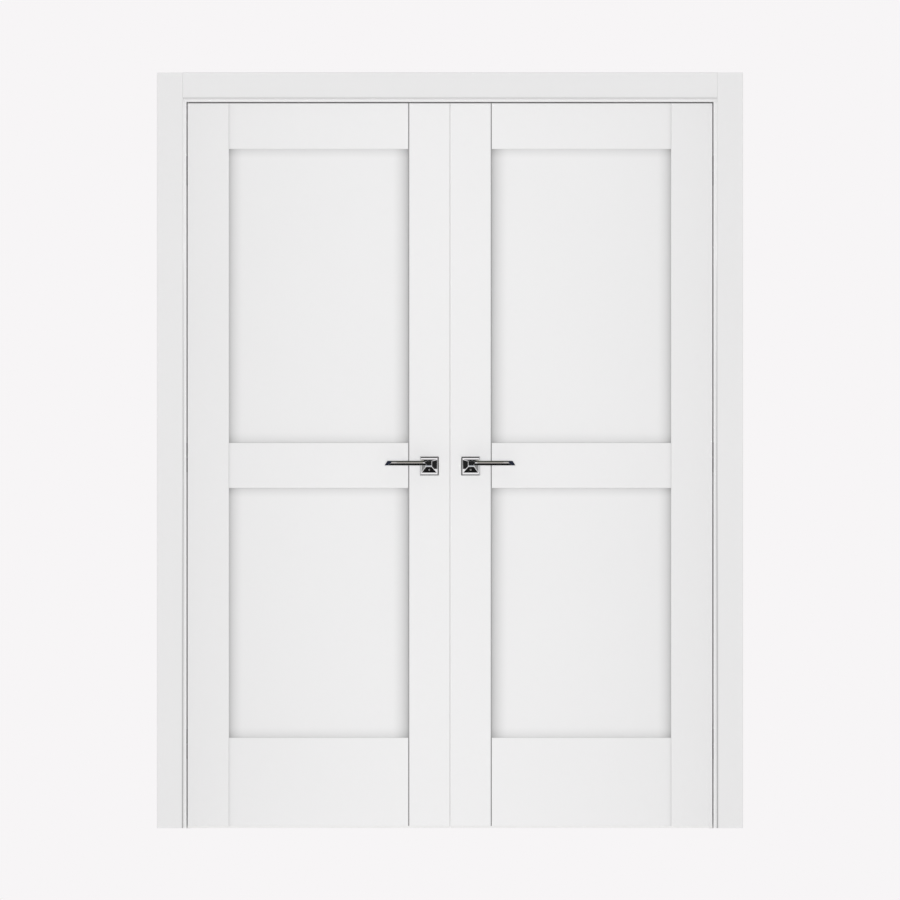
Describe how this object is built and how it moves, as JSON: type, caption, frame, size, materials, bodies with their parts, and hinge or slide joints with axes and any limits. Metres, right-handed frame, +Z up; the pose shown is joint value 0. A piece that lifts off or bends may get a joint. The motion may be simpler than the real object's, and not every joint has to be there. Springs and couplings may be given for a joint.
{
  "type": "prehung double door",
  "caption": "White two-panel double door in its frame: stile-and-rail leaves on concealed hinges, flat casings, square rosettes with straight lever handles, latch and flush bolts.",
  "frame": {"origin": "on the floor, midway between the leaves, in the plane of the leaves' front faces", "axes": "+X to the right seen from the front, +Y through the wall to the back, +Z up"},
  "size_m": [1.648, 0.178, 2.1255],
  "materials": {
    "white_film": "white satin film over board",
    "chrome": "polished",
    "steel": "satin nickel",
    "seal": "matt, soft",
    "dowel": "bare beech"
  },
  "bodies": {
    "frame": {"left_jamb": "white_film", "right_jamb": "white_film", "head_jamb": "white_film", "left_front_casing": "white_film", "right_front_casing": "white_film", "head_front_casing": "white_film", "left_back_casing": "white_film", "right_back_casing": "white_film", "head_back_casing": "white_film", "left_jamb_seal": "seal", "right_jamb_seal": "seal", "head_seal": "seal", "jamb_corner_screws": "steel", "head_bolt_keeper": "steel", "hinge_frame_pins": "steel", "left_hinge_frame_cups": "steel", "right_hinge_frame_cups": "steel"},
    "left_leaf": {"left_hinge_stile": "white_film", "left_meeting_stile": "white_film", "left_top_rail": "white_film", "left_lock_rail": "white_film", "left_bottom_rail": "white_film", "left_upper_panel": "white_film", "left_lower_panel": "white_film", "left_dowels": "dowel", "left_hinge_leaf_cups": "steel", "left_hinge_leaf_pins": "steel", "left_front_rosette": "chrome", "left_back_rosette": "chrome", "left_front_lever": "chrome", "left_back_lever": "chrome", "left_spindle": "steel", "strike_plate": "steel", "flush_bolt_cases": "steel", "meeting_seal": "seal"},
    "right_leaf": {"right_hinge_stile": "white_film", "right_meeting_stile": "white_film", "right_top_rail": "white_film", "right_lock_rail": "white_film", "right_bottom_rail": "white_film", "right_upper_panel": "white_film", "right_lower_panel": "white_film", "right_dowels": "dowel", "right_hinge_leaf_cups": "steel", "right_hinge_leaf_pins": "steel", "right_front_rosette": "chrome", "right_back_rosette": "chrome", "latch_case": "steel"},
    "left_frame_arms": {"left_hinge_frame_arms": "steel"},
    "left_leaf_arms": {"left_hinge_leaf_arms": "steel"},
    "right_frame_arms": {"right_hinge_frame_arms": "steel"},
    "right_leaf_arms": {"right_hinge_leaf_arms": "steel"},
    "handle": {"right_front_lever": "chrome", "right_back_lever": "chrome", "right_spindle": "steel", "latch_hub": "steel"},
    "latch": {"latch_bolt": "steel"},
    "top_bolt": {"top_flush_bolt": "steel"},
    "bottom_bolt": {"bottom_flush_bolt": "steel"}
  },
  "joints": [
    {"name": "left_leaf_swing", "type": "hinge", "parent": "frame", "child": "left_leaf", "pos_m": [-0.7395, 0, 1], "axis": [0, 0, -1], "range_deg": [0, 110]},
    {"name": "left_frame_arm_turn", "type": "hinge", "parent": "frame", "child": "left_frame_arms", "pos_m": [-0.746, 0.0125, 1], "axis": [0, 0, -1], "range_deg": [0, 55]},
    {"name": "left_leaf_arm_turn", "type": "hinge", "parent": "left_leaf", "child": "left_leaf_arms", "pos_m": [-0.733, 0.0125, 1], "axis": [0, 0, 1], "range_deg": [0, 55]},
    {"name": "right_leaf_swing", "type": "hinge", "parent": "frame", "child": "right_leaf", "pos_m": [0.7395, 0, 1], "axis": [0, 0, 1], "range_deg": [0, 110]},
    {"name": "right_frame_arm_turn", "type": "hinge", "parent": "frame", "child": "right_frame_arms", "pos_m": [0.746, 0.0125, 1], "axis": [0, 0, 1], "range_deg": [0, 55]},
    {"name": "right_leaf_arm_turn", "type": "hinge", "parent": "right_leaf", "child": "right_leaf_arms", "pos_m": [0.733, 0.0125, 1], "axis": [0, 0, -1], "range_deg": [0, 55]},
    {"name": "handle_turn", "type": "hinge", "parent": "right_leaf", "child": "handle", "pos_m": [0.05825, 0.02, 1.02675], "axis": [0, 1, 0], "range_deg": [0, 40], "stiffness_Nm_per_rad": 1.2, "springref_deg": -28.65},
    {"name": "latch_slide", "type": "slide", "parent": "right_leaf", "child": "latch", "axis": [-1, 0, 0], "range_m": [0, 0.012], "stiffness_N_per_m": 120, "springref_m": -0.004},
    {"name": "top_bolt_slide", "type": "slide", "parent": "left_leaf", "child": "top_bolt", "axis": [0, 0, 1], "range_m": [0, 0.015]},
    {"name": "bottom_bolt_slide", "type": "slide", "parent": "left_leaf", "child": "bottom_bolt", "axis": [0, 0, -1], "range_m": [0, 0.015]}
  ],
  "couplings": [
    {"joint": "left_frame_arm_turn", "follows": "left_leaf_swing", "ratio": 0.49},
    {"joint": "left_leaf_arm_turn", "follows": "left_leaf_swing", "ratio": 0.49},
    {"joint": "right_frame_arm_turn", "follows": "right_leaf_swing", "ratio": 0.49},
    {"joint": "right_leaf_arm_turn", "follows": "right_leaf_swing", "ratio": 0.49}
  ]
}
